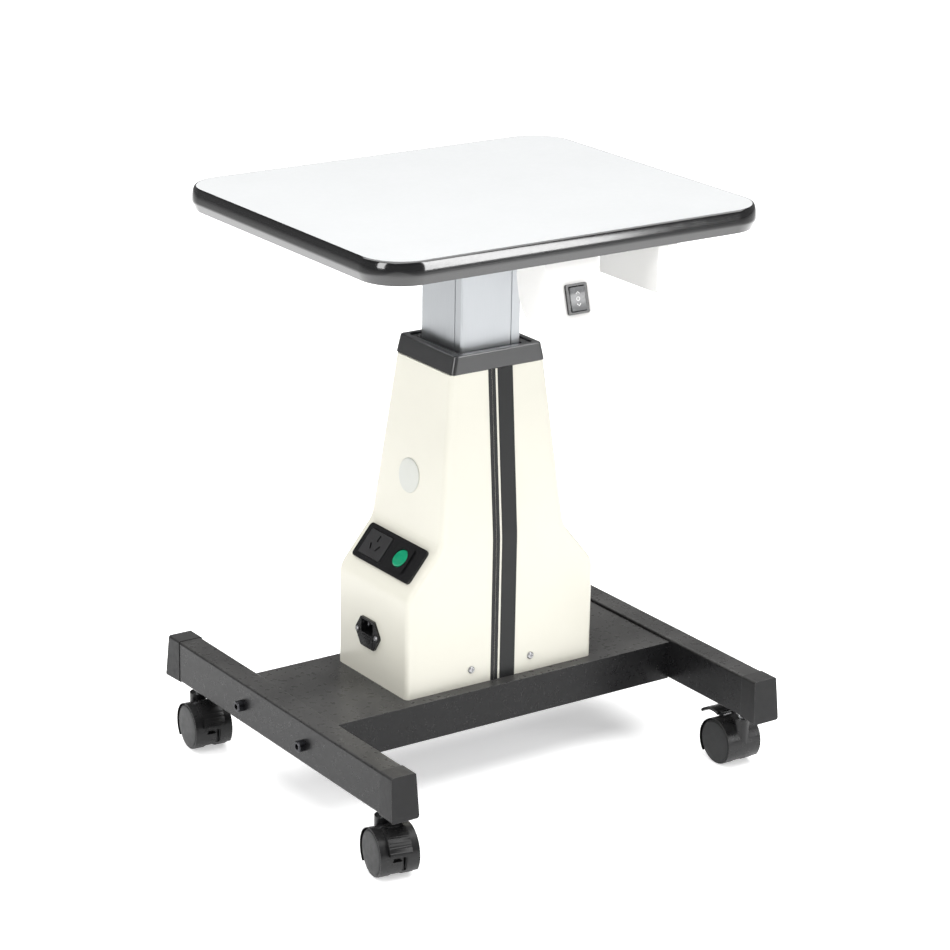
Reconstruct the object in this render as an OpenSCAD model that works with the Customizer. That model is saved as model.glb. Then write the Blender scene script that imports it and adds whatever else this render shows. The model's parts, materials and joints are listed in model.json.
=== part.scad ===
// Motorised lifting table for an ophthalmic instrument.
// Origin: floor level, centre of the foot. +X right, +Y back, +Z up.

/* [Table top] */
// Width of the white board, left to right
table_w = 500; // [480:5:520]
// Depth of the white board, front to back
table_d = 420; // [400:5:440]
// Thickness of the board
table_t = 26; // [22:1:28]
// Height of the table surface at rest
table_z = 669; // [664:1:672]
// Radius of the board's corners
table_r = 45; // [40:5:80]
// How far the edge band stands out from the board
edge_out = 5; // [4:0.5:6]

/* [Lift column] */
// Side of the square moving column
column_w = 80; // [78:1:80]
// Wall of the moving column
column_wall = 3.5; // [3:0.5:4]
// How far the column stands behind the centre of the foot
column_y = 8; // [6:1:10]
// Height of the column's lower end at rest
column_z0 = 242; // [238:1:246]

/* [Cover] */
// Width of the cover's lower box
box_w = 257; // [250:1:258]
// Depth of the cover's lower box and shoulders
box_d = 144; // [140:1:146]
// Height of the top of the lower box
box_z = 235; // [233:1:237]
// Width of the cover where the shoulders end
shoulder_w = 171; // [168:1:174]
// Height where the shoulders end
shoulder_z = 287; // [286:1:288]
// Width of the cover at its top
top_w = 127; // [125:1:128]
// Depth of the cover at its top
top_d = 112; // [111:1:114]
// Height of the top of the cover
cover_z = 482; // [480:1:484]
// Wall of the cover
cover_wall = 3; // [2.5:0.5:3]

/* [Foot] */
// Overall width across both legs
span = 524; // [516:2:532]
// Length of each leg tube with its end caps
leg_len = 480; // [476:2:484]
// Width of the leg tube
leg_w = 30; // [29:1:31]
// Height of the leg tube
leg_h = 50; // [49:1:51]
// Wall of the leg tube
leg_wall = 2; // [2:0.5:2.5]
// Height of the underside of the legs
leg_z = 70; // [69:1:71]
// Depth of the cross box between the legs
base_d = 176; // [172:2:180]

/* [Casters] */
// Diameter of the caster wheels
wheel_d = 54; // [53:1:54]
// Width over both wheels of a caster
caster_w = 46; // [45:1:47]
// Distance of each swivel axis from the centre line, front to back
stem_y = 200; // [196:1:202]
// Distance from the swivel axis to the wheel axle
trail = 19; // [18.5:0.5:19.5]

/* [Hidden] */
$fn = 48;
CORNERS = ["fl", "fr", "rl", "rr"];

// Overlap that keeps cutting faces off each other
eps = 0.1;
// Radial clearance of a running fit
run = 0.06;
// Radius of the stubs that the rockers tilt on
pivot_r = 1.2;

// Foot
leg_x = (span - leg_w) / 2;
leg_top = leg_z + leg_h;
cap_len = 24;
cap_out = 0.8;
cap_flare = 1.8;
cap_slant = 4;
base_z = 116;
base_t = 4;
base_w = span - 2 * leg_w;
bolt_y = [-60, 72];
bolt_z = 92;
motor_z = 92;

// Cover
cover_r = 6;
front_y = column_y - box_d / 2;
slope_run = (box_w - shoulder_w) / 2;
slope_rise = shoulder_z - box_z;
slope_angle = atan2(slope_rise, slope_run);
face_run = (shoulder_w - top_w) / 2;
face_angle = atan2(face_run, cover_z - shoulder_z);
cover_screw_x = 41;
cover_screw_z = 135;
plug_up = 66;
plug_back = 3;
plug_r = 20;
collar_h = 21;
collar_hole = 84;

// Lift
guide_bolts = [for (x = [-54, 54], y = [-48, 48]) [x, y]];
guide_slot_z = 168;
guide_slot_l = 220;
upper_glide_z = 444;
limit_z = [142, 394];
guide_w = 94;
guide_t = 3;
guide_top = 480;
glide_gap = 0.2;
table_under = table_z - table_t;
plate_t = 4;
column_top = table_under - plate_t;
screw_r = 9;
screw_l = 304;
journal_r = 6;

// Switch bracket under the table
bracket_x0 = -50;
bracket_w = 70;
bracket_t = 1.5;
bracket_h = 72.5;
bracket_y = -198;
bracket_tilt = 15.5;
lift_switch_down = 42;

// Bracket to the right of the switch bracket
side_x = 98;
side_y = -202;
side_w = 26;
side_d = 104;
side_h = 52.5;

// Places of the transformer and the control board on the cross box
transformer_x = -92;
transformer_y = column_y - 38;
board_x = 84;

// Inlet on the left face of the cover
inlet_y = 14;
inlet_z = 172;
inlet_screw_y = 19.5;

// Casters: swivel angle at rest of each one, and whether its pedal is raised
wheel_r = wheel_d / 2;
hood_r = wheel_r + 1.2;
web_w = 12;
wheel_gap = 0.5;
axle_r = 2.5;
pin_r = 4;
pedal_open = 34;
pedal_r = hood_r + 3.4;
pedal_from = 14;
function swivel(c) = c == "fl" ? -9 : c == "rl" ? -6 : c == "fr" ? 179 : 172;
function side(c) = (c == "fl" || c == "rl") ? -1 : 1;
function row(c) = (c == "fl" || c == "fr") ? -1 : 1;
function raised(c) = (c == "fr" || c == "rr") ? pedal_open : 0;

// ---------- shared shapes ----------

// Rectangle with round corners, centred
module round_rect(w, d, r) {
    square([w - 2 * r, d], center = true);
    square([w, d - 2 * r], center = true);
    for (x = [-1, 1], y = [-1, 1])
        translate([x * (w / 2 - r), y * (d / 2 - r)]) circle(r);
}

// Upright block with round vertical edges, standing on z = 0
module round_block(w, d, h, r) {
    linear_extrude(h) round_rect(w, d, r);
}

// Straight-sided block between two rectangles with round corners
module taper_block(w0, d0, z0, w1, d1, z1, r) {
    hull() {
        translate([0, 0, z0]) linear_extrude(0.01) round_rect(w0, d0, r, $fn = 32);
        translate([0, 0, z1 - 0.01]) linear_extrude(0.01) round_rect(w1, d1, r, $fn = 32);
    }
}

// Pan-head screw along +Z: the head stands on z = 0, the shank goes below it
module pan_screw(head_r, head_h, shank_r, shank_l) {
    difference() {
        union() {
            cylinder(h = head_h * 0.6, r = head_r);
            translate([0, 0, head_h * 0.6]) cylinder(h = head_h * 0.4, r1 = head_r, r2 = head_r * 0.7);
            translate([0, 0, -shank_l]) cylinder(h = shank_l + eps, r = shank_r);
        }
        for (a = [0, 90])
            rotate(a) translate([-head_r * 0.55, -0.5, head_h * 0.5]) cube([head_r * 1.1, 1, head_h]);
    }
}

// Socket-head bolt along +Z: the head stands on z = 0, the shank goes below it
module socket_bolt(head_r, head_h, shank_r, shank_l) {
    difference() {
        union() {
            cylinder(h = head_h - 1, r = head_r);
            translate([0, 0, head_h - 1]) cylinder(h = 1, r1 = head_r, r2 = head_r - 1);
            translate([0, 0, -shank_l]) cylinder(h = shank_l + eps, r = shank_r);
        }
        translate([0, 0, head_h / 2]) cylinder(h = head_h, r = head_r * 0.55, $fn = 6);
    }
}

// Places children at the cover's left shoulder: x up the slope, y back, z outwards
module on_slope() {
    translate([-(box_w / 2) + slope_run / 2, column_y, box_z + slope_rise / 2])
        rotate([0, -slope_angle, 0]) children();
}

// Places children on the cover's left upper face: x up the face, z outwards
module on_upper_face(up) {
    translate([-shoulder_w / 2 + up * tan(face_angle), column_y, shoulder_z + up])
        rotate([0, -(90 - face_angle), 0]) children();
}

// Places children on the cover's left lower face at the inlet: x up, y back, z outwards
module on_inlet() {
    translate([-box_w / 2, inlet_y, inlet_z]) rotate([0, -90, 0]) children();
}

// Places children on the tilted front panel of the switch bracket: x right, y up the panel
module on_panel() {
    translate([bracket_x0 + bracket_w / 2, bracket_y, table_under])
        rotate([90 - bracket_tilt, 0, 0]) children();
}

// Places children at a caster: origin on the swivel axis at floor level, wheels towards -Y
module at_caster(c) {
    translate([side(c) * leg_x, row(c) * stem_y, 0]) rotate(swivel(c)) children();
}

// ---------- foot ----------

module leg(s) {
    color("#1c1c1e") translate([s * leg_x, 0, 0]) difference() {
        translate([0, (leg_len - 4) / 2, leg_z + leg_h / 2])
            rotate([90, 0, 0]) round_block(leg_w, leg_h, leg_len - 4, 3);
        translate([0, leg_len / 2, leg_z + leg_h / 2])
            rotate([90, 0, 0]) round_block(leg_w - 2 * leg_wall, leg_h - 2 * leg_wall, leg_len, 1.5);
        for (y = [-stem_y, stem_y])
            translate([0, y, leg_z - eps]) cylinder(h = leg_wall + 2 * eps, r = 5.25);
        for (y = bolt_y)
            translate([-leg_w, y, bolt_z]) rotate([0, 90, 0]) cylinder(h = 2 * leg_w, r = 4.25);
    }
}

module leg_left() { leg(-1); }
module leg_right() { leg(1); }

// Plastic sleeve caps over the ends of both legs, flared and longer at their lower edge
module leg_end_caps() {
    h = leg_h + 2 * cap_out;
    top_x = leg_w / 2 + cap_out;
    low_x = top_x + cap_flare;
    r = 3;
    color("#161617") for (x = [-leg_x, leg_x], end = [0, 1])
        translate([x, 0, leg_z + leg_h / 2]) mirror([0, end, 0]) translate([0, leg_len / 2, 0]) difference() {
            hull() {
                translate([0, -cap_len, 0]) rotate([-90, 0, 0]) round_block(2 * top_x, h, 0.5, r);
                for (k = [-1, 1]) {
                    translate([k * (top_x - r), -2, h / 2 - r]) rotate([-90, 0, 0]) cylinder(h = 2, r = r);
                    translate([k * (low_x - r), cap_slant - 2, r - h / 2]) rotate([-90, 0, 0]) cylinder(h = 2, r = r);
                }
            }
            translate([0, -cap_len - eps, 0]) rotate([-90, 0, 0]) round_block(leg_w, leg_h, cap_len - 2 + eps, 3);
        }
}

// Bolts that tie each leg to the cross box
module leg_bolts() {
    color("#2b2b2d") for (s = [-1, 1], y = bolt_y)
        translate([s * span / 2, y, bolt_z]) rotate([0, s * 90, 0]) socket_bolt(6.5, 8, 4, leg_w + 14);
}

// Nuts on the leg bolts and on the caster stems
module frame_nuts() {
    color("#8d9096") {
        for (s = [-1, 1], y = bolt_y)
            translate([s * (base_w / 2 - base_t), y, bolt_z]) rotate([0, -s * 90, 0]) difference() {
                cylinder(h = 6.5, r = 7.5, $fn = 6);
                translate([0, 0, -eps]) cylinder(h = 7, r = 4);
            }
        for (x = [-leg_x, leg_x], y = [-stem_y, stem_y])
            translate([x, y, leg_z + leg_wall]) difference() {
                cylinder(h = 8, r = 9, $fn = 6);
                translate([0, 0, -eps]) cylinder(h = 8 + 2 * eps, r = 5);
            }
    }
}

// Folded cross box, open below, that carries the column and the cover
module base_plate() {
    color("#1c1c1e") {
        translate([0, column_y, 0]) difference() {
            translate([-base_w / 2, -base_d / 2, leg_z]) cube([base_w, base_d, base_z - leg_z]);
            translate([-base_w / 2 + base_t, -base_d / 2 + base_t, leg_z - eps])
                cube([base_w - 2 * base_t, base_d - 2 * base_t, base_z - leg_z - base_t + eps]);
            translate([0, 0, leg_z]) cylinder(h = leg_h + eps, r = 20);
            for (p = guide_bolts)
                translate([p[0], p[1], base_z - base_t - eps]) cylinder(h = base_t + 2 * eps, r = 4);
            for (y = bolt_y)
                translate([-span / 2, y - column_y, bolt_z]) rotate([0, 90, 0]) cylinder(h = span, r = 4.25);
        }
        // Tabs inside the cover that its screws bite into
        for (s = [-1, 1], x = [-cover_screw_x, cover_screw_x])
            translate([x, column_y + s * (box_d / 2 - cover_wall - 1.5), 0]) difference() {
                translate([-9, -1.5, base_z - eps]) cube([18, 3, 30]);
                translate([0, 5, cover_screw_z]) rotate([90, 0, 0]) cylinder(h = 10, r = 2);
            }
    }
}

// ---------- casters ----------

// Stems fixed in the legs: thread, flange and the plain pin that each hood turns on
module caster_stems() {
    color("#c9ccd1") for (x = [-leg_x, leg_x], y = [-stem_y, stem_y])
        translate([x, y, 0]) {
            translate([0, 0, leg_z - eps]) cylinder(h = 18, r = 5);
            translate([0, 0, leg_z - 4.5]) cylinder(h = 4.5, r = 7);
            translate([0, 0, 44]) cylinder(h = leg_z - 4.5 - 44 + eps, r = pin_r);
        }
}

// Space that a pair of wheels turns in
module wheel_space() {
    for (s = [-1, 1])
        translate([s * (web_w / 2 + 25), -trail, wheel_r]) rotate([0, 90, 0])
            cylinder(h = 50, r = wheel_r + wheel_gap, center = true);
}

module caster_hood(c) {
    color("#101011") at_caster(c) difference() {
        union() {
            // Round roof over both wheels, down to low skirts front and back
            translate([-caster_w / 2, -trail, wheel_r]) rotate([0, 90, 0]) cylinder(h = caster_w, r = hood_r);
            // Boss around the stem
            translate([0, 0, 30]) cylinder(h = 30, r = 9.5);
            // Lugs that hold the pedal
            for (s = [-1, 1])
                pedal_pin_place() translate([s * 9 - 1.5, -2.4, -5]) cube([3, 4.8, 7]);
            pedal_pin_place() rotate([0, 90, 0]) cylinder(h = 20, r = 1.2, center = true);
        }
        wheel_space();
        // Open bottom
        translate([-40, -trail - 40, -hood_r]) cube([80, 80, hood_r + 9]);
        translate([0, 0, 43]) cylinder(h = 20, r = pin_r + run);
        translate([-30, -trail, wheel_r]) rotate([0, 90, 0]) cylinder(h = 60, r = axle_r);
        // Bent recess in the skirt on the pedal side
        translate([-9, -trail - hood_r - 1, 25]) cube([17, 6, 4.5]);
        translate([3, -trail - hood_r - 1, 12]) cube([5, 6, 14]);
    }
}

// Places children on the pedal's hinge pin, on the roof of the hood
module pedal_pin_place() {
    translate([0, -trail, wheel_r]) rotate([pedal_from, 0, 0]) translate([0, 0, pedal_r]) children();
}

// Brake pedal: a curved plate over the hood that swings on the pin
module caster_brake(c) {
    color("#141415") at_caster(c) pedal_pin_place() rotate([-raised(c), 0, 0]) difference() {
        union() {
            rotate([0, 90, 0]) cylinder(h = 14, r = 2.6, center = true);
            rotate([-pedal_from, 0, 0]) translate([0, 0, -pedal_r * cos(pedal_from)])
                translate([0, pedal_r * sin(pedal_from), 0]) pedal_plate();
        }
        rotate([0, 90, 0]) cylinder(h = 30, r = 1.2 + run, center = true);
        for (s = [-1, 1])
            translate([s * 9 - 1.8, -3.2, -6]) cube([3.6, 6.4, 12]);
    }
}

// The pedal's plate around the wheel axle, with the axle at the origin
module pedal_plate() {
    intersection() {
        rotate([0, 90, 0]) difference() {
            cylinder(h = 26, r = pedal_r + 0.6, center = true);
            cylinder(h = 40, r = hood_r + 0.6, center = true);
        }
        rotate([90, 0, 90]) translate([0, 0, -20]) linear_extrude(40)
            polygon([[0, 0], [-60 * sin(pedal_from), 60 * cos(pedal_from)], [-60, 60], [-60, 13]]);
    }
}

module caster_axle(c) {
    color("#b9bcc2") at_caster(c) translate([-(caster_w - 3) / 2, -trail, wheel_r])
        rotate([0, 90, 0]) cylinder(h = caster_w - 3, r = axle_r);
}

// One wheel of a pair: s is -1 for the left one, 1 for the right one
module caster_wheel(c, s) {
    inner = web_w / 2 + wheel_gap;
    w = caster_w / 2 - 0.3 - inner;
    color("#242527") at_caster(c) translate([s * inner, -trail, wheel_r]) rotate([0, s * 90, 0])
        rotate_extrude() polygon([
            [axle_r + run, 0], [wheel_r - 1, 0], [wheel_r, 1], [wheel_r, w - 2.5], [wheel_r - 1.6, w - 0.8],
            [wheel_r - 3, w - 0.8], [wheel_r - 3.6, w], [axle_r + run, w],
        ]);
}

// ---------- lift column ----------

// Fixed steel guide tube with its foot flange and the slot for the limit tab
module outer_tube() {
    color("#6f7277") translate([0, column_y, 0]) difference() {
        union() {
            translate([0, 0, base_z]) round_block(guide_w, guide_w, guide_top - base_z, 4);
            translate([0, 0, base_z]) round_block(128, 116, 4, 5);
        }
        translate([0, 0, base_z - eps])
            round_block(guide_w - 2 * guide_t, guide_w - 2 * guide_t, guide_top - base_z + 2 * eps, 2);
        for (p = guide_bolts)
            translate([p[0], p[1], base_z - eps]) cylinder(h = 5, r = 4);
        translate([-6, guide_w / 2 - 10, guide_slot_z]) cube([12, 20, guide_slot_l]);
    }
}

module column_bolts() {
    color("#9ea1a6") for (p = guide_bolts)
        translate([p[0], column_y + p[1], base_z + 4]) socket_bolt(6, 6, 4, 4 + base_t + 2);
}

// Four plastic pads in the gap between the two tubes, one on each side
module glide_set(z, inner, t) {
    for (a = [0, 90, 180, 270])
        translate([0, column_y, z]) rotate(a) translate([-24, inner, 0]) cube([48, t, 34]);
}

module upper_glides() {
    color("#e4e2da") glide_set(upper_glide_z, column_w / 2 + glide_gap, (guide_w - column_w) / 2 - guide_t - glide_gap);
}

module lower_glides() {
    color("#e4e2da") glide_set(column_z0 + 6, column_w / 2, (guide_w - column_w) / 2 - guide_t - glide_gap);
}

// Moving aluminium column, with one fine groove down each face
module inner_column() {
    color("#c6ccd4") translate([0, column_y, column_z0]) difference() {
        round_block(column_w, column_w, column_top - column_z0, 3);
        translate([0, 0, -eps]) round_block(column_w - 2 * column_wall, column_w - 2 * column_wall,
            column_top - column_z0 + 2 * eps, 2);
        for (a = [0, 90, 180, 270])
            rotate(a) translate([column_w / 2 - 13, -column_w / 2 - eps, -eps])
                cube([1.2, 0.6 + eps, column_top - column_z0 + 2 * eps]);
    }
}

// Plate that closes the foot of the moving column, with the tab that works the limit switches
module nut_plate() {
    color("#8d9096") translate([0, column_y, column_z0 - 8]) {
        difference() {
            round_block(column_w - 1, column_w - 1, 8, 3);
            translate([0, 0, -eps]) cylinder(h = 9, r = 13);
        }
        translate([-4, column_w / 2 - 3, 2]) cube([8, 15, 3]);
    }
}

module screw_nut() {
    color("#b98d4f") translate([0, column_y, column_z0 - 14]) difference() {
        union() {
            cylinder(h = 6, r = 19);
            cylinder(h = 34, r = 13);
        }
        translate([0, 0, -eps]) cylinder(h = 40, r = screw_r + run);
    }
}

module lead_screw() {
    color("#a9adb3") translate([0, column_y, 0]) {
        translate([0, 0, motor_z - 6]) cylinder(h = 46, r = journal_r);
        translate([0, 0, base_z + 12.1]) cylinder(h = 5, r = 12);
        translate([0, 0, base_z + 17]) cylinder(h = screw_l, r = screw_r);
        translate([0, 0, base_z + 17 + screw_l]) cylinder(h = 3, r1 = screw_r, r2 = screw_r - 2);
    }
}

module thrust_bearing() {
    color("#b9bcc2") translate([0, column_y, base_z]) difference() {
        cylinder(h = 12, r = 24);
        translate([0, 0, -eps]) cylinder(h = 13, r = journal_r + run);
    }
}

// Worm gearbox under the cross box with its motor lying to the right
module gearmotor() {
    color("#4b4e52") translate([0, column_y, 0]) {
        difference() {
            translate([-34, -30, motor_z - 18]) cube([68, 60, base_z - base_t - motor_z + 18]);
            translate([0, 0, motor_z - 8]) cylinder(h = 40, r = journal_r + run);
        }
        translate([33.9, 0, motor_z]) rotate([0, 90, 0]) cylinder(h = 100, r = 17);
        translate([133.8, 0, motor_z]) rotate([0, 90, 0]) cylinder(h = 14, r = 15);
    }
}

// ---------- electrics inside the cover ----------

module transformer() {
    translate([transformer_x, transformer_y, base_z]) {
        color("#55585c") difference() {
            translate([-24, -28, 0]) cube([48, 56, 56]);
            for (s = [-1, 1])
                translate([-25, s * 13 - 5, 12]) cube([50, 10, 32]);
        }
        color("#b5651d") for (s = [-1, 1])
            translate([-22, s * 13 - 4.9, 12.1]) cube([44, 9.8, 31.8]);
    }
}

module control_board() {
    translate([board_x, column_y, base_z]) {
        color("#1d5b34") translate([14, -52, 6]) cube([1.6, 104, 78]);
        color("#2a2a2c") for (y = [-40, -18, 4])
            translate([-2, y, 14]) cube([16.1, 18, 28]);
        color("#2f6f9f") translate([-6, 40, 62]) rotate([0, 90, 0]) cylinder(h = 20.1, r = 9);
        color("#d8d8d2") for (y = [-46, 38])
            translate([10, y, 0]) cube([12, 8, 10]);
    }
}

// Two switches behind the guide tube, below and above the limit tab's travel
module limit_switches() {
    color("#202124") for (z = limit_z)
        translate([-10, column_y + guide_w / 2, z]) difference() {
            cube([20, 6.5, 20]);
            for (x = [5, 15])
                translate([x, -eps, 10]) rotate([-90, 0, 0]) cylinder(h = 8, r = 1.5);
        }
}

// ---------- cover ----------

// Solid shape of the cover, in by the given amount
module cover_form(in, z0, z1) {
    translate([0, column_y, 0]) {
        translate([0, 0, z0]) round_block(box_w - 2 * in, box_d - 2 * in, box_z - z0, cover_r - in);
        taper_block(box_w - 2 * in, box_d - 2 * in, box_z - 0.01,
            shoulder_w - 2 * in, box_d - 2 * in, shoulder_z, cover_r - in);
        taper_block(shoulder_w - 2 * in, box_d - 2 * in, shoulder_z - 0.01,
            top_w - 2 * in, top_d - 2 * in, z1, cover_r - in);
    }
}

module cover_shell() {
    color("#efeadb") difference() {
        cover_form(0, base_z, cover_z);
        cover_form(cover_wall, base_z - eps, cover_z + eps);
        on_slope() translate([panel_up, 0, -12]) linear_extrude(20) square([36, 108], center = true);
        on_upper_face(plug_up) translate([0, plug_back, -8]) cylinder(h = 16, r = plug_r - 4);
        on_inlet() translate([-16.8, -13.8, -8]) cube([33.6, 27.6, 16]);
        on_inlet() for (y = [-inlet_screw_y, inlet_screw_y])
            translate([0, y, -8]) cylinder(h = 16, r = 1.7);
        for (x = [-cover_screw_x, cover_screw_x])
            translate([x, column_y + 100, cover_screw_z]) rotate([90, 0, 0]) cylinder(h = 200, r = 2.2);
    }
}

// Black frame on top of the cover, around the column
module cover_collar() {
    color("#1a1a1c") translate([0, column_y, 0]) difference() {
        translate([1, 1.5, 0]) taper_block(126, 116, cover_z, 117, 113, cover_z + collar_h, 5);
        translate([-collar_hole / 2, -collar_hole / 2, cover_z - eps])
            cube([collar_hole, collar_hole, collar_h + 2 * eps]);
        translate([-50, -48, cover_z + collar_h - 2.5]) cube([102, 99, 5]);
    }
}

// Two black trim strips down the front of the cover
module front_stripe() {
    out = 0.6;
    top_y = column_y - top_d / 2;
    for (band = [[-14, 9.5], [-1.5, 20.5]])
        color("#141415") translate([band[0], 0, 0]) rotate([90, 0, 90]) linear_extrude(band[1])
            polygon([
                [front_y, base_z], [front_y, shoulder_z], [top_y, cover_z], [top_y - out, cover_z],
                [front_y - out, shoulder_z], [front_y - out, base_z],
            ]);
}

// Screws of the cover, front and back, and the two that hold the inlet
module cover_screws() {
    color("#d7d9dc") {
        for (x = [-cover_screw_x, cover_screw_x], s = [-1, 1])
            translate([x, column_y + s * box_d / 2, cover_screw_z])
                rotate([s * -90, 0, 0]) pan_screw(4.2, 2.4, 2, 9);
        for (y = [-inlet_screw_y, inlet_screw_y])
            on_inlet() translate([0, y, 3]) pan_screw(3, 2, 1.5, 9);
    }
}

// Snap-in plug that closes the round hole in the left upper face
module hole_plug() {
    color("#d9dbd8") on_upper_face(plug_up) translate([0, plug_back, 0.05]) {
        cylinder(h = 1.2, r = plug_r);
        translate([0, 0, 1.2]) cylinder(h = 0.8, r1 = plug_r, r2 = plug_r - 1);
        translate([0, 0, -6]) cylinder(h = 6 + eps, r = plug_r - 4.4);
    }
}

// ---------- socket panel on the left shoulder ----------

panel_up = 5;
panel_l = 117;
panel_w = 44;
power_y = -24;
outlet_y = 28;

module socket_panel() {
    color("#121213") on_slope() translate([panel_up, 0, 0]) difference() {
        union() {
            round_block(panel_w, panel_l, 3, 5);
            translate([0, 0, -6]) round_block(panel_w - 9, panel_l - 10, 6 + eps, 3);
        }
        translate([0, power_y, -7]) cylinder(h = 14, r = 14);
        translate([0, outlet_y, 0]) linear_extrude(20, center = true) square([32, 44], center = true);
    }
}

module mains_outlet() {
    color("#1b1b1d") on_slope() translate([panel_up, outlet_y, 0]) difference() {
        translate([0, 0, -16]) round_block(31, 43, 20, 2);
        for (y = [-7, 7])
            translate([-3, y, 1]) rotate(y > 0 ? 30 : -30) cube([8, 2.4, 12], center = true);
        translate([8, 0, 1]) cube([8, 2.4, 12], center = true);
    }
}

module power_bezel() {
    color("#0f0f10") on_slope() translate([panel_up, power_y, 0]) difference() {
        union() {
            translate([0, 0, 3]) round_block(32, 32, 2, 3);
            translate([0, 0, -20]) cylinder(h = 23.1, r = 13.8);
        }
        translate([0, 0, -8]) cylinder(h = 14, r = 11.6);
        translate([0, 0, 2.5]) rotate([90, 0, 0]) cylinder(h = 25, r = pivot_r + run, center = true);
    }
}

// Round rocker on two pivot stubs, resting on its pressed side
module power_rocker() {
    color("#4fae7b") on_slope() translate([panel_up, power_y, 2.5]) rotate([0, 7, 0]) difference() {
        union() {
            rotate([90, 0, 0]) cylinder(h = 24.6, r = pivot_r, center = true);
            translate([0, 0, -4]) cylinder(h = 6, r = 10.8);
            translate([0, 0, 2]) cylinder(h = 1, r1 = 10.8, r2 = 9.8);
        }
        translate([0, 0, 24]) rotate([90, 0, 0]) cylinder(h = 30, r = 22, center = true, $fn = 96);
    }
}

// ---------- mains inlet ----------

module inlet_body() {
    color("#131314") on_inlet() difference() {
        union() {
            // Six-sided flange that narrows from its two screws to the top and the bottom
            hull() {
                for (x = [-14.5, 14.5], y = [-12, 12])
                    translate([x, y, 0]) cylinder(h = 3, r = 3);
                for (y = [-inlet_screw_y, inlet_screw_y])
                    translate([0, y, 0]) cylinder(h = 3, r = 4.8);
            }
            translate([-16.5, -13.5, -22]) cube([33, 27, 22 + eps]);
        }
        // Cavity for the plug, above the fuse drawer
        translate([-1, -12, -15]) cube([16, 24, 30]);
        for (p = pins)
            translate([p[0] - 2.1, p[1] - 1.1, -23]) cube([4.2, 2.2, 10]);
        // Slot for the fuse drawer
        translate([-14, -11.5, -15]) cube([11, 23, 30]);
        for (y = [-inlet_screw_y, inlet_screw_y])
            translate([0, y, -eps]) cylinder(h = 4, r = 1.7);
    }
}

// Centres of the three contact pins
pins = [[8, -7], [8, 7], [11.5, 0]];

module inlet_pins() {
    color("#c9ccd1") on_inlet() for (p = pins)
        translate([p[0] - 2, p[1] - 1, -27]) cube([4, 2, 24]);
}

// Drawer with a pocket for the fuses and a finger ledge on its face
module fuse_drawer() {
    color("#1a1a1b") on_inlet() difference() {
        union() {
            translate([-13.8, -11.3, -14.5]) cube([10.6, 22.6, 18.2]);
            translate([-11, -5, 3.7]) cube([5, 10, 1.3]);
        }
        translate([-12.2, -9.5, -13]) cube([12, 19, 10]);
    }
}

// ---------- table ----------

// Places of the screws under the board, in the column's plate and in the brackets
plate_screws = [for (x = [-105, 105], y = [-75, 75]) [x, column_y + y]];
bracket_screws = concat(
    [for (x = [bracket_x0 + 18, bracket_x0 + bracket_w - 18]) [x, bracket_y + 30]],
    [for (y = [27, 77]) [side_x + 13, side_y + y]]);

module table_board() {
    color("#f6f7f7") difference() {
        translate([0, column_y, table_under]) round_block(table_w, table_d, table_t, table_r, $fn = 96);
        // Pilot holes for the screws
        for (p = plate_screws)
            translate([p[0], p[1], table_under - eps]) cylinder(h = 12.2 + eps, r = 3.05);
        for (p = bracket_screws)
            translate([p[0], p[1], table_under - eps]) cylinder(h = 10.7 + eps, r = 2.05);
    }
}

// Rim around the board, outwards from the board's edge: a flat bevel up to a crease, then a tall curve
edge_profile = concat(
    [[0, 0], [1, 0], [edge_out * 0.96, table_t * 0.35]],
    [for (a = [0 : 15 : 75]) [edge_out * cos(a), table_t * (0.38 + 0.62 * sin(a))]],
    [[0, table_t]]);

module table_edge() {
    color("#0c0c0d") translate([0, column_y, table_under]) {
        for (x = [-1, 1], y = [-1, 1])
            translate([x * (table_w / 2 - table_r), y * (table_d / 2 - table_r), 0])
                rotate(x > 0 ? (y > 0 ? 0 : 270) : (y > 0 ? 90 : 180))
                    rotate_extrude(angle = 90, $fn = 96) translate([table_r, 0]) polygon(edge_profile);
        for (s = [-1, 1]) {
            translate([0, s * table_d / 2, 0]) mirror([0, s < 0 ? 1 : 0, 0])
                rotate([90, 0, 90]) linear_extrude(table_w - 2 * table_r, center = true) polygon(edge_profile);
            translate([s * table_w / 2, 0, 0]) mirror([s < 0 ? 1 : 0, 0, 0])
                rotate([90, 0, 0]) linear_extrude(table_d - 2 * table_r, center = true) polygon(edge_profile);
        }
    }
}

// Steel plate between the column and the board
module top_plate() {
    color("#2a2b2d") translate([0, column_y, column_top]) difference() {
        round_block(240, 180, plate_t, 10);
        translate([0, 0, -eps]) cylinder(h = 5, r = 22);
        for (p = plate_screws)
            translate([p[0], p[1] - column_y, -eps]) cylinder(h = 5, r = 3.2);
    }
}

// Screws up into the board: four in the plate and four in the two brackets
module table_screws() {
    color("#c2c5c9") {
        for (p = plate_screws)
            translate([p[0], p[1], column_top]) rotate([180, 0, 0]) pan_screw(5.5, 3, 3, 16);
        for (p = bracket_screws)
            translate([p[0], p[1], table_under - bracket_t]) rotate([180, 0, 0]) pan_screw(4, 2.4, 2, 12);
    }
}

// ---------- switches and brackets under the table ----------

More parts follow.
